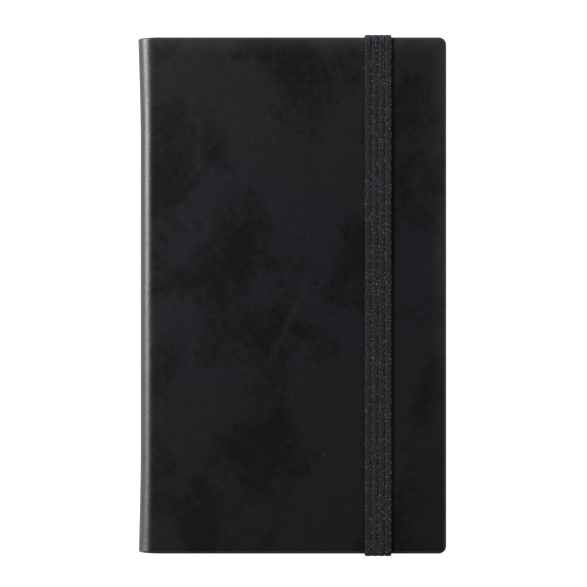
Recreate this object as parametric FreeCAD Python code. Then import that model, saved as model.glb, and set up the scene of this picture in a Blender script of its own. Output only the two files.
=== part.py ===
import FreeCAD, Part
import os

# A pocket notebook in a soft-spined leather-look case, closed by an elastic band.
# Lengths are millimetres.  The notebook lies on its back cover: X runs from the spine
# to the fore-edge, Y from the tail to the head, Z from the back cover to the front.
# Shapes are drawn with x = 0 at the outer face of the spine, y = 0 halfway between head
# and tail and z = 0 at the back face, and save() moves them so that the origin is below
# the middle of the closed notebook.

# ---- overall size
COVER_WIDTH = 89.0
COVER_HEIGHT = 150.0
SPINE_RADIUS = 3.8
CORNER_RADIUS = 2.2

# ---- the case: leather-look skin over grey board
SKIN = 0.4
BOARD = 1.5
TURN_IN = 11.0
TURN_IN_DEPTH = 0.3
BOARD_START = 6.5
COVER = SKIN + BOARD

# ---- the text block
BLOCK_SPINE = 2.2
BLOCK_FORE_EDGE = 86.2
BLOCK_HEIGHT = 144.5
ENDPAPER = 0.12
SECTION = 0.88
SECTION_COUNT = 12
TURNING_SECTIONS = 3
SECTION_FOLD_RADIUS = 0.4
LEAF_GAP = 0.032
FOLD_END = 8.6
FOLD_GAP = 0.05

# ---- the lining of the spine
GLUE = 0.25
MULL = 0.25
MULL_HEIGHT = 138.0
THREAD_RADIUS = 0.1
THREAD_STATIONS = (-60.0, -36.0, -12.0, 12.0, 36.0, 60.0)
THREAD_MARGIN = 0.4
INLAY = 0.6
INLAY_FOOT = 4.8
INLAY_TOP = 10.2
INLAY_HEIGHT = 126.0
FIXED_WALL_TOP = 9.3
HEADBAND_RADIUS = 0.65
HEADBAND_TAB = 0.25
HEADBAND_TAB_LENGTH = 6.0
HEADBAND_TAB_FOOT = 2.3
HEADBAND_TAB_TOP = 12.7

# ---- the elastic band
BAND_WIDTH = 7.7
BAND = 0.65
BAND_FROM_FORE_EDGE = 19.8
BAND_GAP = 0.03
BAND_EDGE_RADIUS = 0.2
SLOT_FROM_EDGE = 10.0
BAND_TAB = 13.0
CHANNEL_GAP = 0.05

# ---- heights of the layers, from the back cover up
SECTIONS_FOOT = COVER + 2 * ENDPAPER
FIXED_SECTIONS = SECTION_COUNT - TURNING_SECTIONS
FIXED_TOP = SECTIONS_FOOT + FIXED_SECTIONS * SECTION
FLYLEAF_FOOT = FIXED_TOP + LEAF_GAP + TURNING_SECTIONS * (SECTION + LEAF_GAP)
PASTEDOWN_FOOT = FLYLEAF_FOOT + ENDPAPER + LEAF_GAP
FRONT_FOOT = PASTEDOWN_FOOT + ENDPAPER
THICKNESS = FRONT_FOOT + COVER

HALF_HEIGHT = COVER_HEIGHT / 2
HALF_BLOCK = BLOCK_HEIGHT / 2
BAND_MIDDLE = COVER_WIDTH - BAND_FROM_FORE_EDGE
BAND_LOW = BAND_MIDDLE - BAND_WIDTH / 2
BAND_HIGH = BAND_MIDDLE + BAND_WIDTH / 2
LEG_INNER = HALF_HEIGHT + BAND_GAP
LEG_OUTER = LEG_INNER + BAND


def box(x_low, x_high, y_low, y_high, z_low, z_high):
    corner = FreeCAD.Vector(x_low, y_low, z_low)
    return Part.makeBox(x_high - x_low, y_high - y_low, z_high - z_low, corner)


def edges_along(shape, direction, place=None):
    """The straight edges that run along a direction, at most those a test accepts."""
    found = []
    for edge in shape.Edges:
        span = edge.Vertexes[-1].Point - edge.Vertexes[0].Point
        if span.Length < 1e-6 or abs(span.normalize().dot(direction)) < 0.999:
            continue
        if place is None or place(edge.CenterOfMass):
            found.append(edge)
    return found


def both_ends(shape):
    """The shape and its mirror image at the other end of the notebook."""
    mirror = shape.mirror(FreeCAD.Vector(0, 0, 0), FreeCAD.Vector(0, 1, 0))
    return shape, mirror


def save(name, *solids):
    shape = solids[0] if len(solids) == 1 else Part.makeCompound(list(solids))
    shape = shape.copy()
    shape.translate(FreeCAD.Vector(-COVER_WIDTH / 2, 0, 0))
    shape.exportStep("parts/%s.step" % name)


# ------------------------------------------------------------------ the case
def plate(x_low, inset, z_low, z_high):
    """A cover-shaped plate with its two fore-edge corners rounded."""
    side = HALF_HEIGHT - inset
    fore_edge = COVER_WIDTH - inset
    solid = box(x_low, fore_edge, -side, side, z_low, z_high)
    corners = edges_along(solid, FreeCAD.Vector(0, 0, 1), lambda p: p.x > fore_edge - 1)
    return solid.makeFillet(CORNER_RADIUS - inset, corners)


def turn_in_frame(z_low, z_high):
    """The rim on a cover's inner face where the skin is folded over the board."""
    side = HALF_HEIGHT - TURN_IN
    frame = plate(BOARD_START, SKIN, z_low, z_high)
    field = box(BOARD_START - 1, COVER_WIDTH - TURN_IN, -side, side, z_low - 1, z_high + 1)
    return frame.cut(field)


def case_wrap():
    """The skin's bare thickness all round the closed case, open at the fore-edge."""
    outer = box(0, COVER_WIDTH, -HALF_HEIGHT, HALF_HEIGHT, 0, THICKNESS)
    inner = box(SKIN, COVER_WIDTH + 1, -HALF_HEIGHT - 1, HALF_HEIGHT + 1, SKIN, THICKNESS - SKIN)
    along = FreeCAD.Vector(0, 1, 0)
    outer = outer.makeFillet(SPINE_RADIUS, edges_along(outer, along, lambda p: p.x < 1))
    inner = inner.makeFillet(SPINE_RADIUS - SKIN, edges_along(inner, along, lambda p: p.x < 1))
    return outer.cut(inner)


def wrap_piece(x_high, z_low, z_high):
    """The part of the wrap on the spine side of x_high, between two heights."""
    reach = HALF_HEIGHT + 1
    return case_wrap().common(box(-1, x_high, -reach, reach, z_low, z_high))


def front_board():
    board = plate(BOARD_START, SKIN, FRONT_FOOT, THICKNESS - SKIN)
    return board.cut(turn_in_frame(FRONT_FOOT, FRONT_FOOT + TURN_IN_DEPTH))


def back_board():
    board = plate(BOARD_START, SKIN, SKIN, COVER)
    board = board.cut(turn_in_frame(COVER - TURN_IN_DEPTH, COVER))
    for room in band_rooms():
        board = board.cut(room)
    return board


def case_skin_front():
    cover = plate(BOARD_START, 0, FRONT_FOOT, THICKNESS)
    return cover.cut(front_board())


def case_skin_back():
    cover = plate(BOARD_START, 0, 0, COVER)
    board = plate(BOARD_START, SKIN, SKIN, COVER)
    board = board.cut(turn_in_frame(COVER - TURN_IN_DEPTH, COVER))
    skin = cover.cut(board).fuse(wrap_piece(BOARD_START, -1, FIXED_WALL_TOP))
    for room in band_rooms():
        skin = skin.cut(room)
    return skin.removeSplitter()


def case_skin_joint():
    """The strip of skin that bends when the front cover opens."""
    return wrap_piece(BOARD_START - FOLD_GAP, FIXED_WALL_TOP, THICKNESS + 1)


def spine_inlay():
    side = INLAY_HEIGHT / 2
    return box(SKIN, SKIN + INLAY, -side, side, INLAY_FOOT, INLAY_TOP)


# ------------------------------------------------------------------ the text block
def section_foot(number):
    """The height of a section's lowest page, counting sections from the back."""
    turned = max(0, number - FIXED_SECTIONS)
    return SECTIONS_FOOT + (number - 1) * SECTION + turned * LEAF_GAP


def folded_leaves(foot, x_high):
    """Leaves lying flat, with their fold rounded where it meets the spine."""
    leaves = box(BLOCK_SPINE, x_high, -HALF_BLOCK, HALF_BLOCK, foot, foot + SECTION)
    along = FreeCAD.Vector(0, 1, 0)
    fold = edges_along(leaves, along, lambda p: p.x < BLOCK_SPINE + 0.1)
    return leaves.makeFillet(SECTION_FOLD_RADIUS, fold)


def section(number):
    return folded_leaves(section_foot(number), BLOCK_FORE_EDGE)


def section_fold(number):
    return folded_leaves(section_foot(number), FOLD_END - FOLD_GAP)


def section_leaves(number):
    foot = section_foot(number)
    return box(FOLD_END, BLOCK_FORE_EDGE, -HALF_BLOCK, HALF_BLOCK, foot, foot + SECTION)


def endpaper(x_low, x_high, foot):
    return box(x_low, x_high, -HALF_BLOCK, HALF_BLOCK, foot, foot + ENDPAPER)


def front_endpaper_fold():
    """The strip of the front endpaper that bends: the fold between its two halves."""
    flyleaf = endpaper(BLOCK_SPINE, FOLD_END - FOLD_GAP, FLYLEAF_FOOT)
    pastedown = endpaper(BLOCK_SPINE, BOARD_START - FOLD_GAP, PASTEDOWN_FOOT)
    bend = box(BLOCK_SPINE, BLOCK_SPINE + ENDPAPER, -HALF_BLOCK, HALF_BLOCK,
               FLYLEAF_FOOT + ENDPAPER, PASTEDOWN_FOOT)
    return flyleaf.fuse(bend).fuse(pastedown).removeSplitter()


def sewing_thread():
    """The lengths of thread that climb the spine from section to section."""
    foot = SECTIONS_FOOT + THREAD_MARGIN
    height = FLYLEAF_FOOT - THREAD_MARGIN - foot
    up = FreeCAD.Vector(0, 0, 1)
    lengths = []
    for station in THREAD_STATIONS:
        start = FreeCAD.Vector(BLOCK_SPINE - GLUE / 2, station, foot)
        lengths.append(Part.makeCylinder(THREAD_RADIUS, height, start, up))
    return lengths


def spine_glue():
    layer = box(BLOCK_SPINE - GLUE, BLOCK_SPINE, -HALF_BLOCK, HALF_BLOCK, SECTIONS_FOOT, FLYLEAF_FOOT)
    for length in sewing_thread():
        layer = layer.cut(length)
    return layer


def mull():
    """The open-weave lining glued over the folds of the sections."""
    face = BLOCK_SPINE - GLUE
    side = MULL_HEIGHT / 2
    return box(face - MULL, face, -side, side, SECTIONS_FOOT, FLYLEAF_FOOT)


def headband():
    """A corded bead over the head of the block, on a cloth tab glued to the mull."""
    tab_face = BLOCK_SPINE - GLUE - MULL
    height = HEADBAND_TAB_TOP - HEADBAND_TAB_FOOT
    foot = FreeCAD.Vector(BLOCK_SPINE + HEADBAND_RADIUS, HALF_BLOCK + HEADBAND_RADIUS, HEADBAND_TAB_FOOT)
    bead = Part.makeCylinder(HEADBAND_RADIUS, height, foot, FreeCAD.Vector(0, 0, 1))
    tab = box(tab_face - HEADBAND_TAB, tab_face, HALF_BLOCK - HEADBAND_TAB_LENGTH,
              HALF_BLOCK + HEADBAND_RADIUS, HEADBAND_TAB_FOOT, HEADBAND_TAB_TOP)
    bridge = box(tab_face - HEADBAND_TAB, BLOCK_SPINE + HEADBAND_RADIUS, HALF_BLOCK,
                 HALF_BLOCK + HEADBAND_RADIUS, HEADBAND_TAB_FOOT, HEADBAND_TAB_TOP)
    return bead.fuse(tab).fuse(bridge).removeSplitter()


# ------------------------------------------------------------------ the elastic band
def band_end(gap=0.0):
    """The head end of the band: along the back face, through its slot, glued inside.

    A gap above zero gives the room that the covers leave for it."""
    low = BAND_LOW - gap
    high = BAND_HIGH + gap
    slot = HALF_HEIGHT - SLOT_FROM_EDGE
    foot = BAND_GAP - gap
    outside = box(low, high, slot - gap, HALF_HEIGHT, foot, BAND_GAP + BAND + gap)
    through = box(low, high, slot - gap, slot + BAND + gap, foot, COVER)
    inside = box(low, high, slot + BAND - BAND_TAB - gap, slot + BAND + gap, COVER - BAND - gap, COVER)
    return outside.fuse(through).fuse(inside).removeSplitter()


def band_rooms():
    return both_ends(band_end(CHANNEL_GAP))


def band_leg():
    """The head leg of the band, from the back face to the front face."""
    leg = box(BAND_LOW, BAND_HIGH, LEG_INNER, LEG_OUTER, BAND_GAP, THICKNESS)
    sides = edges_along(leg, FreeCAD.Vector(0, 0, 1), lambda p: p.y > LEG_OUTER - 0.1)
    return leg.makeFillet(BAND_EDGE_RADIUS, sides)


def band_front_run():
    foot = THICKNESS + BAND_GAP
    run = box(BAND_LOW, BAND_HIGH, -LEG_OUTER, LEG_OUTER, foot, foot + BAND)
    sides = edges_along(run, FreeCAD.Vector(0, 1, 0), lambda p: p.z > foot + BAND - 0.1)
    return run.makeFillet(BAND_EDGE_RADIUS, sides)


# ------------------------------------------------------------------ write every piece
os.makedirs("parts", exist_ok=True)

save("case_skin_back", case_skin_back())
save("case_skin_joint", case_skin_joint())
save("case_skin_front", case_skin_front())
save("back_board", back_board())
save("front_board", front_board())
save("spine_inlay", spine_inlay())
save("mull", mull())
save("spine_glue", spine_glue())
save("sewing_thread", *sewing_thread())

for name, shape in zip(("headband", "tailband"), both_ends(headband())):
    save(name, shape)

for number in range(1, FIXED_SECTIONS + 1):
    save("section_%02d" % number, section(number))
for number in range(FIXED_SECTIONS + 1, SECTION_COUNT + 1):
    save("section_%02d_fold" % number, section_fold(number))
    save("section_%02d_leaves" % number, section_leaves(number))

save("back_pastedown", endpaper(BOARD_START, BLOCK_FORE_EDGE, COVER))
save("back_flyleaf", endpaper(BLOCK_SPINE, BLOCK_FORE_EDGE, COVER + ENDPAPER))
save("front_endpaper_fold", front_endpaper_fold())
save("front_flyleaf", endpaper(FOLD_END, BLOCK_FORE_EDGE, FLYLEAF_FOOT))
save("front_pastedown", endpaper(BOARD_START, BLOCK_FORE_EDGE, PASTEDOWN_FOOT))

save("band_front_run", band_front_run())
for name, shape in zip(("band_leg_head", "band_leg_tail"), both_ends(band_leg())):
    save(name, shape)
for name, shape in zip(("band_end_head", "band_end_tail"), both_ends(band_end())):
    save(name, shape)
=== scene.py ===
"""Pocket notebook: a leather-look case, sewn paper and a ribbed elastic band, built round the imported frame.

Places are metres in the frame's own axes: X from the spine to the fore-edge, Y from the tail
to the head, Z from the back cover to the front cover.
"""
import math
from contextlib import contextmanager

import bmesh
import bpy
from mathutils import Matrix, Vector


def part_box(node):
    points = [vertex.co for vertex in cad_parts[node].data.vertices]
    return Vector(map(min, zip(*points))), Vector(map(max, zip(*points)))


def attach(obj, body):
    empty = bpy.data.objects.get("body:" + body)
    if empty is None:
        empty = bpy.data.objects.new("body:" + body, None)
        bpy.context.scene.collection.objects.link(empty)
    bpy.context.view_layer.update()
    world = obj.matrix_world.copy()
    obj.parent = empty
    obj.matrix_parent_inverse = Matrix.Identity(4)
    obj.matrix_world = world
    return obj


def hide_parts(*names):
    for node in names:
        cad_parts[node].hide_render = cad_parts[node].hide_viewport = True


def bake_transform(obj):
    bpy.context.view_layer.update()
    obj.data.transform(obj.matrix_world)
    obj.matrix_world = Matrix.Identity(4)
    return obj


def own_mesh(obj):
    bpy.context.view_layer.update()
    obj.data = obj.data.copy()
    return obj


bl_info = {
    "name": "Pocket Notebook",
    "version": (1, 0, 0),
    "blender": (4, 5, 0),
    "location": "3D View > Sidebar > Notebook",
    "description": "Builds a hardback pocket notebook with an elastic band",
    "category": "Object",
}

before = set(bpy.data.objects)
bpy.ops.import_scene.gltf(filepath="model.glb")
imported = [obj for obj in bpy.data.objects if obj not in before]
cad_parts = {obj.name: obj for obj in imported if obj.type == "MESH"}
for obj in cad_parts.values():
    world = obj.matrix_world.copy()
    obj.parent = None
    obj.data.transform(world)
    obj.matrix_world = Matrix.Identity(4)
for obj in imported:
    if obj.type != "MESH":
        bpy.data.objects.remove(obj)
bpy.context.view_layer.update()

MM = 0.001
NEAR = 0.00001  # how close two places count as the same

# Boxes of the frame's nodes that the new pieces are sized from.
FRONT_LOW, FRONT_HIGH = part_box("case_skin_front")
BACK_LOW, BACK_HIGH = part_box("case_skin_back")
PAGES_LOW, PAGES_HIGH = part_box("section_01")
RUN_LOW, RUN_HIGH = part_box("band_front_run")
END_LOW, END_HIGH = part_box("band_end_head")

SPINE = BACK_LOW.x
FORE_EDGE = BACK_HIGH.x
HINGE = FRONT_LOW.x  # where the front board starts
HALF_HEIGHT = BACK_HIGH.y
THICKNESS = FRONT_HIGH.z
COVER = FRONT_HIGH.z - FRONT_LOW.z  # one board with its skin
BEND_FOOT = 9.3 * MM  # height on the spine above which the skin bends as the cover opens
CHANNEL = 10 * MM  # length of the channels in the back cover for the band's ends

BAND_THICK = RUN_HIGH.z - RUN_LOW.z
BAND_MIDDLE = (RUN_LOW.x + RUN_HIGH.x) / 2
BAND_CURL = 0.33 * MM  # radius inside the band where it folds over a cover's edge
BAND_FOOT = END_LOW.z + BAND_THICK + BAND_CURL  # where the band starts to curl under
LEG_TOP = 14.2 * MM  # where the band's run ends and its legs begin

# Distances from the spine side of the pages at which leaves are cut so that they can bend.
BEND_CUTS = [step * MM for step in (0.45, 1.0, 1.6, 2.2, 2.8, 3.4, 4.0, 4.6, 5.2, 5.8, 6.4)]

# Each light's place, its width and length, and its share of the key light's power.
LIGHTS = {
    "key": ((-1.18, 0.47, 0.79), (1.15, 0.72), 1),
    "fill": ((1.7, -0.3, 1.2), (1.6, 1.0), 0.16),
    "rear": ((0.2, 1.9, 1.1), (1.6, 0.6), 0.14),
    "low": ((-1.7, 0.0, 0.17), (2.4, 0.30), 0.12),
}
FLOOR_SIZE = 30
FLOOR_DROP = 0.1 * MM  # gap that keeps the floor clear of the back cover
VIEW_WIDTH = 170.36 * MM  # what the camera sees across at the front cover
VIEW_CENTRE = (0.12 * MM, 0.57 * MM)


# ------------------------------------------------------------------ sizes and colours
def length(name, default, description):
    """A length that can be changed in the sidebar."""
    return bpy.props.FloatProperty(
        name=name, description=description, default=default, min=0, precision=5,
        subtype="DISTANCE", unit="LENGTH")


def colour(name, default, description):
    """A linear colour that can be changed in the sidebar."""
    return bpy.props.FloatVectorProperty(
        name=name, description=description, default=default, size=3, min=0, max=1,
        subtype="COLOR")


class CaseSettings(bpy.types.PropertyGroup):
    """The leather-look case."""
    skin: length("Skin", 0.4 * MM, "Thickness of the leather-look skin")
    spine_radius: length("Spine radius", 3.8 * MM, "Rounding where the spine meets each cover")
    corner_radius: length("Corner radius", 2.2 * MM, "Rounding of a cover's fore-edge corners")
    rim_radius: length("Rim radius", 0.55 * MM, "Rounding where the skin rolls over a board")
    turn_in: length("Turn-in", 11 * MM, "Width of the skin folded over inside a cover")
    hem: length("Hem", 0.84 * MM, "Thickness of the folded hem at the ends of the spine")
    flare_head: length("Head flare", 0.7 * MM, "How far the spine stands out at the head")
    flare_tail: length("Tail flare", 0.55 * MM, "How far the spine stands out at the tail")
    leather: colour("Leather", (0.0048, 0.0044, 0.0080), "Colour of the skin")
    # also the colour of the painted shade towards the tail
    leather_dark: colour("Dark clouds and tail shade", (0.0004, 0.0004, 0.0012), "Darker clouds in the skin")
    leather_light: colour("Light clouds", (0.0075, 0.0070, 0.0100), "Lighter clouds in the skin")
    rubbed: colour("Rubbed margin", (0.0290, 0.0270, 0.0260), "Skin rubbed lighter near the edges")
    # painted highlight: colour of the lighter line painted along the covers' rolled rim
    worn: colour("Rim highlight", (0.034, 0.027, 0.023), "Painted highlight line round the covers")


class BlockSettings(bpy.types.PropertyGroup):
    """The sewn pages and the endpapers."""
    sheets: bpy.props.IntProperty(
        name="Sheets", description="Folded sheets in each section", default=4, min=1, max=8)
    leaf: length("Leaf", 0.098 * MM, "Thickness of a leaf")
    endpaper: length("Endpaper", 0.12 * MM, "Thickness of an endpaper")
    corner: length("Page corner", 1.6 * MM, "Rounding of the page corners")
    paper: colour("Paper", (0.80, 0.745, 0.60), "Colour of the pages")
    endpaper_colour: colour("Endpaper colour", (0.76, 0.705, 0.565), "Colour of the endpapers")


class BandSettings(bpy.types.PropertyGroup):
    """The elastic band."""
    ribs: bpy.props.IntProperty(
        name="Ribs", description="Cords knitted into the band", default=4, min=1, max=8)
    groove: length("Groove", 0.11 * MM, "Depth of the grooves between the ribs")
    yarn: colour("Yarn", (0.0120, 0.0118, 0.0160), "Colour of the elastic's yarn")
    fleck: colour("Fleck", (0.220, 0.220, 0.250), "Colour of the bright yarn flecks")


class StageSettings(bpy.types.PropertyGroup):
    """The floor, the lights and the camera."""
    floor: colour("Floor", (0.22, 0.22, 0.22), "Colour of the floor")
    floor_glow: bpy.props.FloatProperty(
        name="Floor glow", description="Light that the floor gives off", default=1.05, min=0)
    room: bpy.props.FloatProperty(
        name="Room", description="Brightness of the room above", default=0.025, min=0)
    key: bpy.props.FloatProperty(
        name="Key light", description="Power of the long light beside the spine",
        default=40, min=0, unit="POWER")
    lens: bpy.props.FloatProperty(
        name="Lens", description="Focal length in millimetres", default=150, min=20)


GROUPS = {
    "notebook_case": CaseSettings,
    "notebook_block": BlockSettings,
    "notebook_band": BandSettings,
    "notebook_stage": StageSettings,
}


# ------------------------------------------------------------------ shaping by hand
def only(piece):
    """Make one piece the selected and active one."""
    bpy.ops.object.select_all(action="DESELECT")
    piece.select_set(True)
    bpy.context.view_layer.objects.active = piece


def start_box(name, low, high):
    """A box between two corners, to be shaped further."""
    bpy.ops.object.select_all(action="DESELECT")
    low, high = Vector(low), Vector(high)
    bpy.ops.mesh.primitive_cube_add(size=1, location=(low + high) / 2, scale=high - low)
    piece = bpy.context.object
    piece.name = piece.data.name = name
    bpy.ops.object.transform_apply(location=True, rotation=True, scale=True)
    return piece


def start_sheet(name, low, high):
    """A flat sheet between two corners at the same height, to be shaped further."""
    bpy.ops.object.select_all(action="DESELECT")
    low, high = Vector(low), Vector(high)
    bpy.ops.mesh.primitive_plane_add(size=1, location=(low + high) / 2)
    piece = bpy.context.object
    piece.name = piece.data.name = name
    piece.scale = (high.x - low.x, high.y - low.y, 1)
    bpy.ops.object.transform_apply(location=True, rotation=True, scale=True)
    return piece


@contextmanager
def shaping(piece):
    """Edit mode on one piece."""
    only(piece)
    bpy.ops.object.mode_set(mode="EDIT")
    yield
    bpy.ops.object.mode_set(mode="OBJECT")


def choose(kind, test):
    """Select the vertices, edges or faces that pass a test of their place and direction.

    An edge has to pass at both of its ends."""
    bpy.ops.mesh.select_mode(type=kind)
    bpy.ops.mesh.select_all(action="DESELECT")
    data = bpy.context.object.data
    mesh = bmesh.from_edit_mesh(data)
    chosen = []
    if kind == "VERT":
        chosen = [v for v in mesh.verts if test(v.co, v.normal)]
    elif kind == "EDGE":
        for edge in mesh.edges:
            ends = [v.co for v in edge.verts]
            along = (ends[1] - ends[0]).normalized()
            if all(test(end, along) for end in ends):
                chosen.append(edge)
    else:
        chosen = [f for f in mesh.faces if test(f.calc_center_median(), f.normal)]
    for item in chosen:
        item.select_set(True)
    bmesh.update_edit_mesh(data)
    if not chosen:
        raise RuntimeError("nothing to choose on " + bpy.context.object.name)


def move(value):
    """Move what is selected."""
    bpy.ops.transform.translate(value=value)


def extrude(value):
    """Extrude what is selected and move its new end."""
    bpy.ops.mesh.extrude_region_move(TRANSFORM_OT_translate={"value": value})


def turn(centre, degrees, steps):
    """Spin the chosen edge round an axis that runs along the spine."""
    bpy.ops.mesh.spin(
        steps=steps, angle=math.radians(degrees), center=centre, axis=(0, 1, 0), dupli=False)


def cut(place, normal):
    """An edge loop all round the piece where a plane crosses it."""
    bpy.ops.mesh.select_mode(type="FACE")
    bpy.ops.mesh.select_all(action="SELECT")
    bpy.ops.mesh.bisect(plane_co=place, plane_no=normal)


def near(a, b, slack=NEAR):
    """Whether two measures are the same within a slack."""
    return abs(a - b) < slack


def face_outwards(test):
    """Turn all faces one way, so that those which pass a test of place point along +Z."""
    bpy.ops.mesh.select_all(action="SELECT")
    bpy.ops.mesh.remove_doubles(threshold=NEAR / 4)
    bpy.ops.mesh.normals_make_consistent(inside=False)
    mesh = bmesh.from_edit_mesh(bpy.context.object.data)
    passing = [f for f in mesh.faces if test(f.calc_center_median())]
    largest = max(passing, key=lambda f: f.calc_area())
    if largest.normal.z < 0:
        bpy.ops.mesh.flip_normals()


def apply_modifier(piece, kind, **settings):
    """Add one modifier with its settings and apply it."""
    only(piece)
    modifier = piece.modifiers.new(kind.title(), kind)
    for name, value in settings.items():
        setattr(modifier, name, value)
    bpy.ops.object.modifier_apply(modifier=modifier.name)


def smooth(piece, degrees=35):
    """Shade a piece smooth, but for edges sharper than an angle."""
    only(piece)
    bpy.ops.object.shade_smooth_by_angle(angle=math.radians(degrees))


def copy_piece(piece, name):
    """A copy with its own mesh."""
    twin = piece.copy()
    twin.data = piece.data.copy()
    twin.name = twin.data.name = name
    bpy.context.scene.collection.objects.link(twin)
    return twin


def join(pieces):
    """Join pieces into the first of them."""
    bpy.ops.object.select_all(action="DESELECT")
    for piece in pieces:
        piece.select_set(True)
    bpy.context.view_layer.objects.active = pieces[0]
    bpy.ops.object.join()


def shift(piece, value):
    """Move a finished piece and leave its origin where it was."""
    only(piece)
    piece.location = value
    bpy.ops.object.transform_apply(location=True, rotation=False, scale=False)


def flip_over(piece, axis):
    """Mirror a piece through the middle of the notebook and turn its faces out again."""
    factor = [1, 1, 1]
    factor[axis] = -1
    with shaping(piece):
        bpy.ops.mesh.select_all(action="SELECT")
        bpy.ops.transform.resize(value=factor, center_override=(0, 0, THICKNESS / 2))
        bpy.ops.mesh.flip_normals()


# ------------------------------------------------------------------ materials
def arithmetic(operation, flipped=False):
    """An arithmetic method of Socket that adds one Math node."""
    def apply(self, other):
        values = (other, self) if flipped else (self, other)
        return self.maker.math(operation, *values)
    return apply


class Socket:
    """A number in a material that can be used in an expression."""

    def __init__(self, maker, link):
        self.maker = maker
        self.link = link

    __add__ = arithmetic("ADD")
    __radd__ = arithmetic("ADD", flipped=True)
    __sub__ = arithmetic("SUBTRACT")
    __rsub__ = arithmetic("SUBTRACT", flipped=True)
    __mul__ = arithmetic("MULTIPLY")
    __rmul__ = arithmetic("MULTIPLY", flipped=True)
    __truediv__ = arithmetic("DIVIDE")
    __rtruediv__ = arithmetic("DIVIDE", flipped=True)
    __gt__ = arithmetic("GREATER_THAN")
    __lt__ = arithmetic("LESS_THAN")

    def __neg__(self):
        return 0 - self

    def __abs__(self):
        return self.maker.math("ABSOLUTE", self)


class Maker:
    """Builds one material round its Principled shader."""

    def __init__(self, name, **uniform):
        self.material = bpy.data.materials.new(name)
        self.material.use_nodes = True
        self.tree = self.material.node_tree
        self.shader = self.tree.nodes["Principled BSDF"]
        for socket, value in uniform.items():
            self.shader.inputs[socket.replace("_", " ")].default_value = value
        self.place = self.node("ShaderNodeTexCoord", output="Object")

    def node(self, kind, settings=None, inputs=None, output=0):
        """Add any node, set or link its inputs, and return one output."""
        node = self.tree.nodes.new(kind)
        for name, value in (settings or {}).items():
            setattr(node, name, value)
        for name, value in (inputs or {}).items():
            if isinstance(value, Socket):
                self.tree.links.new(value.link, node.inputs[name])
            else:
                node.inputs[name].default_value = value
        return Socket(self, node.outputs[output])

    def math(self, operation, *values):
        """One Math node."""
        return self.node("ShaderNodeMath", {"operation": operation}, dict(enumerate(values)))

    def scaled(self, size, stretch, place):
        """Coordinates in which a size in metres is 1."""
        return self.node("ShaderNodeMapping", {}, {
            "Vector": place or self.place, "Scale": [s / size for s in stretch]})

    def noise(self, size, detail=3, rough=0.5, stretch=(1, 1, 1), place=None, warp=0.0):
        """Soft noise whose features are about a size in metres."""
        return self.node("ShaderNodeTexNoise", {}, {
            "Vector": self.scaled(size, stretch, place), "Scale": 1.0, "Detail": detail,
            "Roughness": rough, "Distortion": warp})

    def specks(self, size, stretch=(1, 1, 1), place=None, output="Distance"):
        """Cells about a size in metres, as distance from each cell's heart or as its colour."""
        return self.node("ShaderNodeTexVoronoi", {}, {
            "Vector": self.scaled(size, stretch, place), "Scale": 1.0}, output)

    def wave(self, along, pitch):
        """0 to 1 and back over each pitch of a distance."""
        turns = along * (2 * math.pi / pitch)
        return self.math("SINE", turns) * 0.5 + 0.5

    def ramp(self, value, low, high):
        """0 below low, 1 above high and smooth between them."""
        return self.node("ShaderNodeMapRange", {"interpolation_type": "SMOOTHSTEP"}, {
            "Value": value, "From Min": low, "From Max": high})

    def mix(self, share, a, b):
        """Colour a where share is 0 and b where it is 1."""
        def full(value):
            return value if isinstance(value, Socket) else (*value, 1)
        return self.node("ShaderNodeMix", {"data_type": "RGBA"}, {
            0: share, 6: full(a), 7: full(b)}, 2)

    def axes(self, place=None):
        """The three parts of a place or a colour."""
        spot = self.node("ShaderNodeSeparateXYZ", {}, {"Vector": place or self.place})
        outputs = spot.link.node.outputs
        return [Socket(self, outputs[axis]) for axis in "XYZ"]

    def connect(self, **links):
        """Link what varies over the surface to the shader."""
        for socket, value in links.items():
            self.tree.links.new(value.link, self.shader.inputs[socket.replace("_", " ")])

    def bump(self, height, distance, strength=1.0, normal=None):
        """A bump of a depth in metres, on top of another if one is given."""
        inputs = {"Height": height, "Distance": distance, "Strength": strength}
        if normal is not None:
            inputs["Normal"] = normal
        return self.node("ShaderNodeBump", {}, inputs)


def paint(piece, material):
    """Give a piece or a frame node one material."""
    if not piece.material_slots:
        piece.data.materials.append(None)
    for held in piece.material_slots:
        held.link = "OBJECT"
        held.material = material


def tinted(whole, share):
    """A colour made lighter or darker."""
    return [part * share for part in whole]


def material_once(build):
    """Each material is built once and then shared."""
    def fetch():
        found = bpy.data.materials.get(build.__name__)
        return found or build(build.__name__)
    return fetch


def leather_clouds(m, mottle, patches):
    """Colour of the skin: blue-black clouds in the middle, greyer ones towards the ends, and painted shade
    that darkens the skin towards the tail.
    """
    case = bpy.context.scene.notebook_case
    x, y, _ = m.axes()
    broad = m.noise(38 * MM, 2, 0.5)
    light = m.ramp(patches + (mottle - 0.5) * 0.22, 0.36, 0.56)
    skin = m.mix(light, case.leather_dark, case.leather)
    paler = m.ramp(broad + (mottle - 0.5) * 0.5, 0.42, 0.70)
    skin = m.mix(paler * 0.4, skin, case.leather_light)
    # painted shade: the skin is darkened towards the tail, where the light falls off
    painted_tail_shade = m.ramp(-y, -10 * MM, 75 * MM)
    skin = m.mix(painted_tail_shade * 0.55, skin, case.leather_dark)
    neutral = m.ramp(abs(y - 6 * MM) + (broad - 0.5) * 60 * MM + x * 0.25, 30 * MM, 66 * MM)
    grey = m.node("ShaderNodeHueSaturation", {}, {"Saturation": 0.15, "Value": 0.96, "Color": skin})
    return light, m.mix(neutral, skin, grey)


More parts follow.
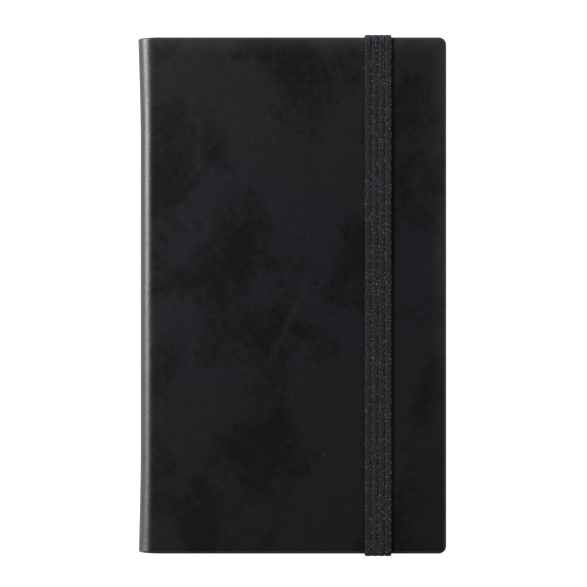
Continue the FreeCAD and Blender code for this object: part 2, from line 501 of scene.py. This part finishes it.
def leather_wear(m, skin, mottle, patches):
    """The skin with a scuff near the middle, rubbed margins, a painted highlight line along the rolled rim,
    nicks and dust.
    """
    case = bpy.context.scene.notebook_case
    x, y, z = m.axes()
    across = abs((x + 1.5 * MM) * 0.90 - (y + 8 * MM) * 0.43)
    along = abs((x + 1.5 * MM) * 0.43 + (y + 8 * MM) * 0.90)
    scuff = (1 - m.ramp(across, 0.1 * MM, 1.7 * MM)) * (1 - m.ramp(along, 4 * MM, 17 * MM))
    skin = m.mix(scuff * (z > THICKNESS / 2) * mottle, skin, (0.014, 0.014, 0.017))
    inset = 0.56 * MM
    rim = m.math("MAXIMUM", abs(y) - (HALF_HEIGHT - inset), x - (FORE_EDGE - inset))
    margin = m.ramp(rim, -6.5 * MM, 0)
    towards_head = m.ramp(y, HALF_HEIGHT - 9 * MM, HALF_HEIGHT)
    upper = m.ramp(y, -45 * MM, 0)
    patchy = upper * (m.ramp(patches, 0.3, 0.65) * 0.45 + 0.12) + towards_head * 0.35
    skin = m.mix(margin * margin * patchy, skin, case.rubbed)
    # painted highlight: a lighter line painted just inside the head, tail and fore-edge, where the rounded
    # rim reflects the light
    line = (1 - m.ramp(abs(rim), 0.05 * MM, 0.30 * MM)) * m.ramp(m.noise(2.5 * MM), 0.2, 0.5)
    skin = m.mix(line * 0.75, skin, case.worn)
    nicks = m.ramp(m.noise(0.9 * MM, 3, 0.7), 0.60, 0.68) * m.ramp(rim, -0.9 * MM, 0)
    skin = m.mix(nicks * 0.5, skin, (0.060, 0.052, 0.046))
    thick = m.ramp(y - x, -30 * MM, 110 * MM) * 0.35 + 0.12
    dust = (m.specks(1.7 * MM) < 0.070) * (m.noise(2.1 * MM, 2) < 0.38 + thick * 0.3)
    return m.mix(dust * 0.55, skin, (0.115, 0.115, 0.118))


@material_once
def cloudy_leather(name):
    """Smooth semi-gloss black skin with soft clouds, fine pores, dust and a rubbed rim."""
    m = Maker(name, IOR=1.62, Specular_IOR_Level=0.5)
    mottle = m.noise(2.2 * MM, 5, 0.7)
    patches = m.noise(19 * MM, 4, 0.52, (1, 0.8, 1), warp=0.3)
    light, skin = leather_clouds(m, mottle, patches)
    m.connect(Base_Color=leather_wear(m, skin, mottle, patches))
    m.connect(Roughness=0.33 + light * 0.03 + mottle * 0.08)
    grain = m.noise(0.30 * MM, 4, 0.6) * 0.5 + m.ramp(m.specks(0.42 * MM), 0.0, 0.5) * 0.5
    fine = m.bump(grain, 0.010 * MM, 1.0)
    dents = m.bump(m.noise(1.6 * MM, 3, 0.6), 0.030 * MM, 0.8, fine)
    m.connect(Normal=m.bump(m.noise(8 * MM, 2, 0.5), 0.12 * MM, 0.6, dents))
    return m.material


@material_once
def page_paper(name):
    """Uncoated cream paper, with the leaves' edges faintly darker in places."""
    block = bpy.context.scene.notebook_block
    m = Maker(name, Specular_IOR_Level=0.25)
    fibre = m.noise(0.25 * MM, 4, 0.65)
    drift = m.noise(22 * MM, 3)
    dusk = tinted(block.paper, 0.86)
    leaves = m.noise(0.11 * MM, 2, 0.5, (0.02, 0.006, 1))
    share = m.ramp(leaves, 0.35, 0.65) * 0.35 + fibre * 0.25 + drift * 0.2
    m.connect(Base_Color=m.mix(share, block.paper, dusk), Roughness=0.82 + fibre * 0.12)
    m.connect(Normal=m.bump(fibre, 0.012 * MM, 0.6))
    return m.material


@material_once
def endpaper_stock(name):
    """Heavier cream paper with a soft tooth."""
    block = bpy.context.scene.notebook_block
    m = Maker(name, Specular_IOR_Level=0.25)
    fibre = m.noise(0.35 * MM, 5, 0.65)
    drift = m.noise(18 * MM, 3)
    dusk = tinted(block.endpaper_colour, 0.84)
    m.connect(Base_Color=m.mix(fibre * 0.4 + drift * 0.3, block.endpaper_colour, dusk))
    m.connect(Roughness=0.80 + fibre * 0.15)
    m.connect(Normal=m.bump(fibre * 0.6 + m.noise(2.5 * MM, 2) * 0.4, 0.02 * MM, 0.6))
    return m.material


@material_once
def binders_board(name):
    """Grey pressed board with fibres of mixed tone."""
    m = Maker(name, Specular_IOR_Level=0.2)
    fibre = m.noise(0.6 * MM, 5, 0.7, (0.4, 1, 1), warp=1.2)
    fleck = m.specks(0.9 * MM) < 0.16
    tone = m.mix(m.ramp(fibre, 0.3, 0.7), (0.20, 0.18, 0.15), (0.36, 0.33, 0.28))
    m.connect(Base_Color=m.mix(fleck * 0.5, tone, (0.10, 0.09, 0.08)), Roughness=0.82 + fibre * 0.12)
    m.connect(Normal=m.bump(fibre, 0.05 * MM, 0.7))
    return m.material


@material_once
def lining_gauze(name):
    """Open-weave gauze, its threads crossing along the spine and over it."""
    m = Maker(name, Specular_IOR_Level=0.2)
    _, y, z = m.axes()
    across = m.wave(y + m.noise(3 * MM) * 0.4 * MM, 0.62 * MM)
    along = m.wave(z + m.noise(4 * MM) * 0.3 * MM, 0.62 * MM)
    weave = m.math("MAXIMUM", across, along)
    m.connect(Base_Color=m.mix(m.ramp(weave, 0.2, 0.8), (0.42, 0.38, 0.30), (0.78, 0.75, 0.67)))
    m.connect(Roughness=0.85 + m.noise(0.3 * MM) * 0.1, Normal=m.bump(weave, 0.12 * MM, 0.9))
    return m.material


@material_once
def dried_glue(name):
    """Clear-drying binding glue, yellowed and uneven."""
    m = Maker(name, Specular_IOR_Level=0.5)
    pool = m.noise(1.6 * MM, 3)
    m.connect(Base_Color=m.mix(pool, (0.80, 0.76, 0.62), (0.62, 0.56, 0.42)), Roughness=0.28 + pool * 0.25)
    m.connect(Normal=m.bump(pool, 0.06 * MM, 0.8))
    return m.material


@material_once
def waxed_thread(name):
    """Waxed linen thread, its plies twisted together."""
    m = Maker(name, Specular_IOR_Level=0.4)
    _, y, z = m.axes()
    twist = m.wave(z + y * 1.5, 0.35 * MM)
    m.connect(Base_Color=m.mix(twist, (0.62, 0.58, 0.48), (0.88, 0.85, 0.77)))
    m.connect(Roughness=0.5 + twist * 0.15, Normal=m.bump(twist, 0.04 * MM, 1.0))
    return m.material


@material_once
def headband_cloth(name):
    """Fine black cloth, its weave just showing."""
    m = Maker(name, Specular_IOR_Level=0.3)
    x, y, z = m.axes()
    weave = m.wave(z, 0.26 * MM) * 0.5 + m.wave(x + y, 0.26 * MM) * 0.5
    m.connect(Base_Color=m.mix(weave, (0.018, 0.018, 0.020), (0.055, 0.055, 0.060)))
    m.connect(Roughness=0.7 + weave * 0.15, Normal=m.bump(weave, 0.03 * MM, 1.0))
    return m.material


@material_once
def knitted_elastic(name):
    """Ribbed black elastic: stitches along each rib, bright yarn flecks in rows, painted shade in the grooves
    and a painted highlight where it folds over the head.
    """
    band = bpy.context.scene.notebook_band
    m = Maker(name, Specular_IOR_Level=0.3)
    x, y, z = m.axes()
    pitch = (RUN_HIGH.x - RUN_LOW.x) / band.ribs
    across = x - RUN_LOW.x
    along = y + z
    rib = m.math("PINGPONG", across, pitch / 2)
    crown = m.ramp(rib, 0.06 * MM, 0.34 * MM)
    stitch = m.wave(along + rib * 0.7, 0.40 * MM)
    yarns = m.wave(across, 0.275 * MM)
    flat = m.node("ShaderNodeCombineXYZ", {}, {0: across, 1: along, 2: 0.0})
    fuzz = m.noise(0.42 * MM, 4, 0.8, (1, 0.7, 1), flat)
    patch = m.noise(6 * MM, 2, 0.5, (0.5, 1, 1), flat)
    tone = stitch * 0.20 + yarns * 0.16 + m.ramp(fuzz, 0.34, 0.66) * 0.6 + patch * 0.4 - 0.25
    yarn = m.mix(tone, tinted(band.yarn, 0.06), tinted(band.yarn, 1.8))
    # painted highlight: the yarn is made lighter where the band folds over the head edge, as if lit from the
    # head side
    fold = m.ramp(y, HALF_HEIGHT - 1.3 * MM, HALF_HEIGHT - 0.2 * MM)
    yarn = m.mix(fold, yarn, tinted(band.yarn, 2.6))
    # painted shade: the yarn is darkened in the grooves between the ribs and along the band's rounded edges
    yarn = m.mix(1 - crown, yarn, tinted(band.yarn, 0.22))
    rows = m.ramp(m.wave(across + 0.62 * MM, pitch * 0.985), 0.72, 0.95) * 0.22
    loops = (0.24 * MM, (1.0, 0.62, 1), flat)
    cell = m.axes(m.specks(*loops, "Color"))[0]
    heart = 1 - m.ramp(m.specks(*loops), 0.10, 0.50)
    fleck = m.ramp(cell + rows, 0.79, 1.00) * heart
    m.connect(Base_Color=m.mix(fleck, yarn, band.fleck))
    m.connect(Roughness=0.74 + fuzz * 0.15)
    m.connect(Normal=m.bump(stitch * 0.35 + yarns * 0.25 + fuzz * 0.6, 0.06 * MM, 0.9))
    return m.material


# ------------------------------------------------------------------ the case
def cover_sheet(name):
    """The skin of the front cover as an open sheet: face, rolled rim and turn-in."""
    case = bpy.context.scene.notebook_case
    inner = THICKNESS - COVER
    piece = start_box(name, (HINGE, -HALF_HEIGHT, inner), (FORE_EDGE, HALF_HEIGHT, THICKNESS))
    with shaping(piece):
        choose("FACE", lambda p, n: n.z < -0.9)
        bpy.ops.mesh.inset(thickness=case.turn_in)
        choose("EDGE", lambda p, along: abs(along.z) > 0.9 and near(p.x, FORE_EDGE))
        bpy.ops.mesh.bevel(offset=case.corner_radius, segments=8, affect="EDGES")
        choose("EDGE", lambda p, along: near(p.z, THICKNESS) and not (
            near(p.x, HINGE) and abs(along.y) > 0.99))
        bpy.ops.mesh.bevel(offset=case.rim_radius, segments=4, affect="EDGES")
        field = HALF_HEIGHT - case.turn_in - NEAR
        choose("FACE", lambda p, n: n.x < -0.9 or (
            n.z < -0.9 and abs(p.y) < field and p.x < FORE_EDGE - case.turn_in))
        bpy.ops.mesh.delete(type="FACE")
        choose("VERT", lambda p, n: near(p.x, HINGE + case.turn_in) and near(p.z, inner))
        move((-case.turn_in, 0, 0))
    return piece


def hem_end(x, lowest, highest):
    """Thin the ends of the sheet at one x from a board's thickness to a hem's."""
    case = bpy.context.scene.notebook_case
    choose("VERT", lambda p, n: near(p.x, x) and lowest < p.z < highest)
    move((0, 0, COVER - case.hem))


def wrap_spine(piece):
    """Carry a cover's sheet on round the spine, where its ends are folded to a hem."""
    case = bpy.context.scene.notebook_case
    radius = case.spine_radius
    taper = 1 * MM
    flat = HINGE - taper - (SPINE + radius)
    wall = THICKNESS - 2 * radius
    bend = THICKNESS - radius - BEND_FOOT
    with shaping(piece):
        choose("EDGE", lambda p, along: near(p.x, HINGE))
        extrude((-taper, 0, 0))
        hem_end(HINGE - taper, 0, THICKNESS - case.rim_radius - NEAR)
        choose("EDGE", lambda p, along: near(p.x, HINGE - taper))
        extrude((-flat / 2, 0, 0))
        extrude((-flat / 2, 0, 0))
        turn((SPINE + radius, 0, THICKNESS - radius), 90, 12)
        choose("EDGE", lambda p, along: near(p.z, THICKNESS - radius) and p.x < SPINE + 1 * MM)
        for drop in (bend / 3, bend / 3, bend / 3, (wall - bend) / 2, (wall - bend) / 2):
            extrude((0, 0, -drop))
        turn((SPINE + radius, 0, radius), 90, 12)
        choose("EDGE", lambda p, along: near(p.x, SPINE + radius) and p.z < case.hem + NEAR)
        extrude((flat, 0, 0))
        extrude((taper, 0, 0))
        hem_end(HINGE, case.rim_radius + NEAR, COVER - NEAR)
        for distance in (1, 3, 6, 9, 14, 18, 22.5, 27, 45, 60):
            for side in (1, -1):
                cut((0, side * (HALF_HEIGHT - distance * MM), 0), (0, 1, 0))


def flare_spine(piece):
    """Let the ends of the spine stand out a little and draw its corners in."""
    case = bpy.context.scene.notebook_case
    root = HINGE - 1 * MM
    fade = 27  # millimetres from an end at which a flare has gone
    rows = [(0, 0.9), (1, 1.1), (3, 3), (6, 6), (9, 9), (11, 11), (14, 14), (18, 18), (22.5, 22.5)]
    with shaping(piece):
        for side, flare in ((1, case.flare_head), (-1, case.flare_tail)):
            for near_row, far_row in rows:
                low = near_row * MM - NEAR * 2
                high = far_row * MM + NEAR * 2
                share = (1 - near_row / fade) ** 1.35
                choose("VERT", lambda p, n: (
                    low <= HALF_HEIGHT - side * p.y <= high and p.x < root))
                bpy.ops.transform.resize(
                    value=(1 + flare * share / (root - SPINE), 1, 1),
                    center_override=(root, 0, 0))
            for reach, inward in ((3.9, 0.06), (2.8, 0.05), (1.4, 0.04)):
                choose("VERT", lambda p, n: (
                    side * p.y > HALF_HEIGHT - 0.8 * MM and p.x < SPINE + reach * MM))
                move((0, -side * inward * MM, 0))


def give_thickness(piece, upward_from):
    """Turn a sheet into skin, with its outer face where the sheet was.

    Above the height upward_from the sheet's largest face is one that looks up."""
    case = bpy.context.scene.notebook_case
    with shaping(piece):
        face_outwards(lambda p: p.z > upward_from)
    apply_modifier(piece, "SOLIDIFY", thickness=case.skin, offset=-1, use_even_offset=True,
                   use_rim=True, thickness_clamp=0)
    apply_modifier(piece, "BEVEL", width=0.09 * MM, segments=2, limit_method="ANGLE",
                   angle_limit=math.radians(60))
    smooth(piece)


class NOTEBOOK_OT_front_skin(bpy.types.Operator):
    """Skin of the front cover and the spine, in one sheet"""
    bl_idname = "notebook.front_skin"
    bl_label = "Front and Spine Skin"

    def execute(self, context):
        piece = cover_sheet("front_and_spine_skin")
        wrap_spine(piece)
        flare_spine(piece)
        give_thickness(piece, THICKNESS / 2)
        paint(piece, cloudy_leather())
        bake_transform(piece)
        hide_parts("case_skin_front", "case_skin_joint")
        return {"FINISHED"}


def press_channels(piece):
    """Sink the two channels that hold the band's ends into a back cover's sheet."""
    gap = 0.05 * MM
    slope = 0.3 * MM
    depth = 0.72 * MM
    low = END_LOW.x - gap
    high = END_HIGH.x + gap
    slot = HALF_HEIGHT - CHANNEL - gap
    with shaping(piece):
        for x in (low - slope, low, high, high + slope):
            cut((x, 0, 0), (1, 0, 0))
        for y in (slot - 2 * slope, slot - slope, slot):
            cut((0, y, 0), (0, 1, 0))
            cut((0, -y, 0), (0, 1, 0))
        choose("VERT", lambda p, n: (
            low - NEAR < p.x < high + NEAR and abs(p.y) > slot - NEAR and p.z < 0.6 * MM))
        move((0, 0, depth))


class NOTEBOOK_OT_back_skin(bpy.types.Operator):
    """Skin of the back cover, with channels for the ends of the band"""
    bl_idname = "notebook.back_skin"
    bl_label = "Back Skin"

    def execute(self, context):
        piece = cover_sheet("back_skin")
        flip_over(piece, 2)
        press_channels(piece)
        give_thickness(piece, COVER - NEAR * 5)
        paint(piece, cloudy_leather())
        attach(piece, "back_cover")
        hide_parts("case_skin_back")
        return {"FINISHED"}


# ------------------------------------------------------------------ the paper
def round_corners(x, radius):
    """Round the corners of a sheet that lie at one x."""
    choose("VERT", lambda p, n: near(p.x, x) and abs(p.y) > PAGES_HIGH.y - NEAR)
    bpy.ops.mesh.bevel(offset=radius, segments=5, affect="VERTICES")


def folded_sheet(name, middle, radius, reach):
    """One sheet folded in two round the spine side of its section."""
    block = bpy.context.scene.notebook_block
    fold = PAGES_LOW.x + (PAGES_HIGH.z - PAGES_LOW.z) / 2
    side = PAGES_HIGH.y
    piece = start_sheet(name, (fold, -side, middle - radius), (reach, side, middle - radius))
    with shaping(piece):
        choose("EDGE", lambda p, along: near(p.x, fold) and abs(along.y) > 0.9)
        turn((fold, 0, middle), -180, 6)
        choose("EDGE", lambda p, along: (
            near(p.x, fold) and near(p.z, middle + radius) and abs(along.y) > 0.9))
        extrude((reach - fold, 0, 0))
        round_corners(reach, block.corner)
    return piece


def section_master():
    """The lowest section: sheets folded one inside the other."""
    block = bpy.context.scene.notebook_block
    height = PAGES_HIGH.z - PAGES_LOW.z
    middle = (PAGES_HIGH.z + PAGES_LOW.z) / 2
    pitch = height / (2 * block.sheets)
    trims = (0, -0.05 * MM, 0.03 * MM, -0.02 * MM)
    sheets = []
    for number in range(block.sheets):
        reach = PAGES_HIGH.x - 0.05 * MM + trims[number % len(trims)]
        radius = height / 2 - pitch * (number + 0.5)
        sheets.append(folded_sheet("section_sheet", middle, radius, reach))
    join(sheets)
    apply_modifier(sheets[0], "SOLIDIFY", thickness=block.leaf, offset=0)
    return sheets[0]


def cut_bend(x_low):
    """Cut a leaf into strips beside the spine, so that it can bend there."""
    for step in BEND_CUTS:
        if PAGES_LOW.x + step > x_low + 0.1 * MM:
            cut((PAGES_LOW.x + step, 0, 0), (1, 0, 0))


class NOTEBOOK_OT_sections(bpy.types.Operator):
    """Twelve sewn sections of folded sheets; the last three turn with the cover"""
    bl_idname = "notebook.sections"
    bl_label = "Sections"
    sections = 12
    fixed = 9

    def execute(self, context):
        master = section_master()
        for number in range(1, self.sections + 1):
            turning = number > self.fixed
            node = "section_%02d" % number
            piece = copy_piece(master, node + ("_pages" if turning else "_sheets"))
            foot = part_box(node + "_leaves" if turning else node)[0].z
            out = math.sin(number * 2.4) * 0.04 * MM
            up = math.cos(number * 1.7) * 0.05 * MM
            shift(piece, (out, up, foot - PAGES_LOW.z))
            if turning:
                with shaping(piece):
                    cut_bend(PAGES_LOW.x)
            smooth(piece)
            paint(piece, page_paper())
            if turning:
                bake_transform(piece)
                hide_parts(node + "_leaves", node + "_fold")
            else:
                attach(piece, "back_cover")
                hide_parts(node)
        bpy.data.objects.remove(master)
        return {"FINISHED"}


def endpaper_sheet(name, node, x_low):
    """One leaf of an endpaper, with rounded corners at its fore-edge."""
    block = bpy.context.scene.notebook_block
    low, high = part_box(node)
    height = (low.z + high.z) / 2
    piece = start_sheet(name, (x_low, low.y, height), (high.x, high.y, height))
    with shaping(piece):
        round_corners(high.x, block.corner)
        cut_bend(x_low)
        face_outwards(lambda p: True)
    apply_modifier(piece, "SOLIDIFY", thickness=block.endpaper, offset=0)
    smooth(piece)
    paint(piece, endpaper_stock())
    return piece


class NOTEBOOK_OT_endpapers(bpy.types.Operator):
    """Pastedowns and flyleaves at the front and the back"""
    bl_idname = "notebook.endpapers"
    bl_label = "Endpapers"

    def execute(self, context):
        start = PAGES_LOW.x + 0.06 * MM
        pasted = endpaper_sheet("front_pastedown_sheet", "front_pastedown", start)
        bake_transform(pasted)
        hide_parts("front_pastedown")
        flyleaf = endpaper_sheet("front_flyleaf_sheet", "front_flyleaf", start)
        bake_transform(flyleaf)
        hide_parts("front_flyleaf", "front_endpaper_fold")
        for name in ("back_pastedown", "back_flyleaf"):
            piece = endpaper_sheet(name + "_sheet", name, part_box(name)[0].x)
            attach(piece, "back_cover")
            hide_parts(name)
        return {"FINISHED"}


def headband_bead(low, high, centre, radius):
    """The cord of a headband, ringed by the turns of cloth over it."""
    bpy.ops.object.select_all(action="DESELECT")
    bpy.ops.mesh.primitive_cylinder_add(
        vertices=20, radius=radius, depth=high.z - low.z, location=centre)
    bead = bpy.context.object
    bead.name = bead.data.name = "headband_cord"
    bpy.ops.object.transform_apply(location=True, rotation=True, scale=True)
    rings = 52
    step = (high.z - low.z) / rings
    with shaping(bead):
        for ring in range(1, rings):
            cut((0, 0, low.z + ring * step), (0, 0, 1))
        for ring in range(1, rings, 2):
            choose("VERT", lambda p, n: near(p.z, low.z + ring * step))
            bpy.ops.transform.resize(value=(0.84, 0.84, 1), center_override=centre)
    return bead


def headband_tab(low, high, centre, radius):
    """The cloth of a headband: glued to the block's back and led out to the cord."""
    cloth = 0.25 * MM
    tab = start_box("headband_tab", low, (low.x + cloth, centre.y - radius, high.z))
    with shaping(tab):
        choose("FACE", lambda p, n: n.y > 0.9)
        extrude((0, radius * 0.9, 0))
        choose("FACE", lambda p, n: n.x > 0.9 and p.y > centre.y - radius)
        extrude((centre.x - low.x - cloth, 0, 0))
        bpy.ops.mesh.select_all(action="SELECT")
        bpy.ops.mesh.remove_doubles(threshold=NEAR / 4)
    apply_modifier(tab, "BEVEL", width=0.06 * MM, segments=2, limit_method="ANGLE")
    return tab


class NOTEBOOK_OT_headbands(bpy.types.Operator):
    """Corded headbands at the head and the tail of the block"""
    bl_idname = "notebook.headbands"
    bl_label = "Headbands"

    def execute(self, context):
        low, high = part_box("headband")
        radius = 0.65 * MM
        centre = Vector((high.x - radius, high.y - radius, (low.z + high.z) / 2))
        bead = headband_bead(low, high, centre, radius)
        join([bead, headband_tab(low, high, centre, radius)])
        smooth(bead, 50)
        other = copy_piece(bead, "tailband_cord")
        flip_over(other, 1)
        for piece, node in ((bead, "headband"), (other, "tailband")):
            paint(piece, headband_cloth())
            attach(piece, "back_cover")
            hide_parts(node)
        return {"FINISHED"}


# ------------------------------------------------------------------ the elastic band
def curl(centre, degrees, steps):
    """Extrude the chosen end round an axis that runs across the band."""
    for _ in range(steps):
        extrude((0, 0, 0))
        bpy.ops.transform.rotate(
            value=math.radians(degrees / steps), orient_axis="X", center_override=centre)


def groove_rows():
    """Where rows of vertices run along the band, and how deep each lies as a share of a groove."""
    band = bpy.context.scene.notebook_band
    low, high = RUN_LOW.x, RUN_HIGH.x
    pitch = (high - low) / band.ribs
    rows = {}
    for groove in range(1, band.ribs):
        for offset, share in ((-0.34, 0), (-0.2, 0.35), (-0.07, 1), (0.07, 1), (0.2, 0.35), (0.34, 0)):
            rows[low + groove * pitch + offset * MM] = share
    for rib in range(band.ribs):
        rows[low + (rib + 0.5) * pitch] = -0.25
    for offset, share in ((0.45 * MM, 0), (0.18 * MM, 0.25)):
        rows[low + offset] = share
        rows[high - offset] = share
    return rows


def ribbed_strip(straight):
    """The flat middle of the band, with its ribs on both faces."""
    band = bpy.context.scene.notebook_band
    low, high = RUN_LOW, RUN_HIGH
    piece = start_box("band_loop", (low.x, -straight, low.z), (high.x, straight, high.z))
    rows = groove_rows()
    with shaping(piece):
        for x in rows:
            cut((x, 0, 0), (1, 0, 0))
        rows[low.x] = rows[high.x] = 0.85
        for x, share in rows.items():
            if not share:
                continue
            for up, level in ((1, high.z), (-1, low.z)):
                choose("VERT", lambda p, n: near(p.x, x) and near(p.z, level, 0.1 * MM))
                move((0, 0, -up * share * band.groove))
    return piece


def band_loop():
    """The whole band as one ribbed strip, from one glued end to the other."""
    straight = 60 * MM
    bend_y = RUN_HIGH.y - BAND_THICK - BAND_CURL
    slot = HALF_HEIGHT - CHANNEL + 1 * MM
    slant = 1.6 * MM
    rise = END_HIGH.z - END_LOW.z - BAND_THICK
    piece = ribbed_strip(straight)
    with shaping(piece):
        for side in (1, -1):
            choose("FACE", lambda p, n: side * n.y > 0.9 and near(p.y, side * straight))
            extrude((0, side * (bend_y - straight), 0))
            curl((0, side * bend_y, RUN_LOW.z - BAND_CURL), side * 90, 6)
            extrude((0, 0, LEG_TOP - (RUN_LOW.z - BAND_CURL)))
            extrude((0, 0, BAND_FOOT - LEG_TOP))
            curl((0, side * bend_y, BAND_FOOT), side * 90, 6)
            for _ in range(8):
                extrude((0, -side * (bend_y - slot) / 8, 0))
            extrude((0, -side * slant, rise))
            extrude((0, side * (END_LOW.y - slot + slant), 0))
            choose("VERT", lambda p, n: (
                side * p.y > bend_y + 0.2 * MM and p.z > LEG_TOP + 0.2 * MM))
            bpy.ops.transform.resize(value=(0.95, 1, 1), center_override=(BAND_MIDDLE, 0, 0))
    return piece


def piece_between(loop, name, *planes):
    """A copy of the loop that keeps only what lies on the near side of each plane."""
    piece = copy_piece(loop, name)
    with shaping(piece):
        for place, normal in planes:
            bpy.ops.mesh.select_mode(type="FACE")
            bpy.ops.mesh.select_all(action="SELECT")
            bpy.ops.mesh.bisect(plane_co=place, plane_no=normal, use_fill=True, clear_outer=True)
    smooth(piece, 50)
    paint(piece, knitted_elastic())
    return piece


class NOTEBOOK_OT_band(bpy.types.Operator):
    """Ribbed elastic band: its run, its legs and its glued ends"""
    bl_idname = "notebook.band"
    bl_label = "Elastic Band"

    def execute(self, context):
        loop = band_loop()
        up, down = (0, 0, 1), (0, 0, -1)
        top = (0, 0, LEG_TOP)
        foot = BAND_FOOT
        run = piece_between(loop, "band_run", (top, down))
        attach(run, "band")
        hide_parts("band_front_run")
        for end, side in (("head", 1), ("tail", -1)):
            half = ((0, 0, 0), (0, -side, 0))
            leg = piece_between(loop, "band_side_" + end, (top, up), half, ((0, 0, foot), down))
            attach(leg, "band_legs")
            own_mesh(leg)
            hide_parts("band_leg_" + end)
            tail = piece_between(loop, "band_tuck_" + end, half, ((0, 0, foot), up))
            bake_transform(tail)
            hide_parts("band_end_" + end)
        bpy.data.objects.remove(loop)
        return {"FINISHED"}


class NOTEBOOK_OT_inner_parts(bpy.types.Operator):
    """Boards, lining, glue and thread keep the frame's shapes and get their finishes"""
    bl_idname = "notebook.inner_parts"
    bl_label = "Boards and Binding"

    def execute(self, context):
        finishes = {
            "front_board": binders_board, "back_board": binders_board,
            "spine_inlay": binders_board, "mull": lining_gauze,
            "spine_glue": dried_glue, "sewing_thread": waxed_thread,
        }
        for node, finish in finishes.items():
            paint(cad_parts[node], finish())
        return {"FINISHED"}


# ------------------------------------------------------------------ the stage
def pale_floor(tone, glow):
    """Even, shadowless paper under the notebook."""
    bpy.ops.object.select_all(action="DESELECT")
    bpy.ops.mesh.primitive_plane_add(size=FLOOR_SIZE, location=(0, 0, -FLOOR_DROP))
    floor = bpy.context.object
    floor.name = "floor"
    m = Maker("pale_floor", Roughness=0.9, Specular_IOR_Level=0.0)
    m.shader.inputs["Base Color"].default_value = (*tone, 1)
    m.shader.inputs["Emission Color"].default_value = (1, 1, 1, 1)
    m.shader.inputs["Emission Strength"].default_value = glow
    paint(floor, m.material)


def soft_light(name, place, size, power):
    """A rectangular light that points at the notebook."""
    data = bpy.data.lights.new(name, "AREA")
    data.shape = "RECTANGLE"
    data.size, data.size_y = size
    data.energy = power
    light = bpy.data.objects.new(name, data)
    bpy.context.scene.collection.objects.link(light)
    light.location = place
    light.rotation_euler = (-Vector(place)).to_track_quat("-Z", "Y").to_euler()


def dim_room(brightness):
    """Even light from all round."""
    world = bpy.context.scene.world or bpy.data.worlds.new("room")
    bpy.context.scene.world = world
    world.use_nodes = True
    background = world.node_tree.nodes["Background"]
    background.inputs["Color"].default_value = (1, 1, 1, 1)
    background.inputs["Strength"].default_value = brightness


def overhead_camera(lens):
    """A camera that looks straight down at the front cover."""
    data = bpy.data.cameras.new("camera")
    data.lens = lens
    camera = bpy.data.objects.new("camera", data)
    bpy.context.scene.collection.objects.link(camera)
    distance = VIEW_WIDTH * lens / data.sensor_width
    camera.location = (*VIEW_CENTRE, THICKNESS + distance)
    bpy.context.scene.camera = camera


class NOTEBOOK_OT_stage(bpy.types.Operator):
    """Pale floor, soft lights and the camera"""
    bl_idname = "notebook.stage"
    bl_label = "Stage"

    def execute(self, context):
        settings = context.scene.notebook_stage
        pale_floor(settings.floor, settings.floor_glow)
        for name, (place, size, share) in LIGHTS.items():
            soft_light(name, place, size, settings.key * share)
        dim_room(settings.room)
        overhead_camera(settings.lens)
        context.scene.view_settings.view_transform = "Standard"
        return {"FINISHED"}


OPERATORS = (
    NOTEBOOK_OT_front_skin, NOTEBOOK_OT_back_skin, NOTEBOOK_OT_inner_parts,
    NOTEBOOK_OT_sections, NOTEBOOK_OT_endpapers, NOTEBOOK_OT_headbands,
    NOTEBOOK_OT_band, NOTEBOOK_OT_stage,
)


class NOTEBOOK_PT_sidebar(bpy.types.Panel):
    """Sizes, colours and pieces of the notebook"""
    bl_idname = "NOTEBOOK_PT_sidebar"
    bl_label = "Pocket Notebook"
    bl_space_type = "VIEW_3D"
    bl_region_type = "UI"
    bl_category = "Notebook"

    def draw(self, context):
        layout = self.layout
        for name, group in GROUPS.items():
            box = layout.box()
            settings = getattr(context.scene, name)
            for field in group.__annotations__:
                box.prop(settings, field)
        column = layout.column(align=True)
        for operator in OPERATORS:
            column.operator(operator.bl_idname)


def register():
    for name, group in GROUPS.items():
        bpy.utils.register_class(group)
        setattr(bpy.types.Scene, name, bpy.props.PointerProperty(type=group))
    for operator in OPERATORS:
        bpy.utils.register_class(operator)
    bpy.utils.register_class(NOTEBOOK_PT_sidebar)


def unregister():
    bpy.utils.unregister_class(NOTEBOOK_PT_sidebar)
    for operator in reversed(OPERATORS):
        bpy.utils.unregister_class(operator)
    for name, group in reversed(GROUPS.items()):
        delattr(bpy.types.Scene, name)
        bpy.utils.unregister_class(group)


def main():
    register()
    for operator in OPERATORS:
        group, name = operator.bl_idname.split(".")
        getattr(getattr(bpy.ops, group), name)()


if __name__ == "__main__":
    main()
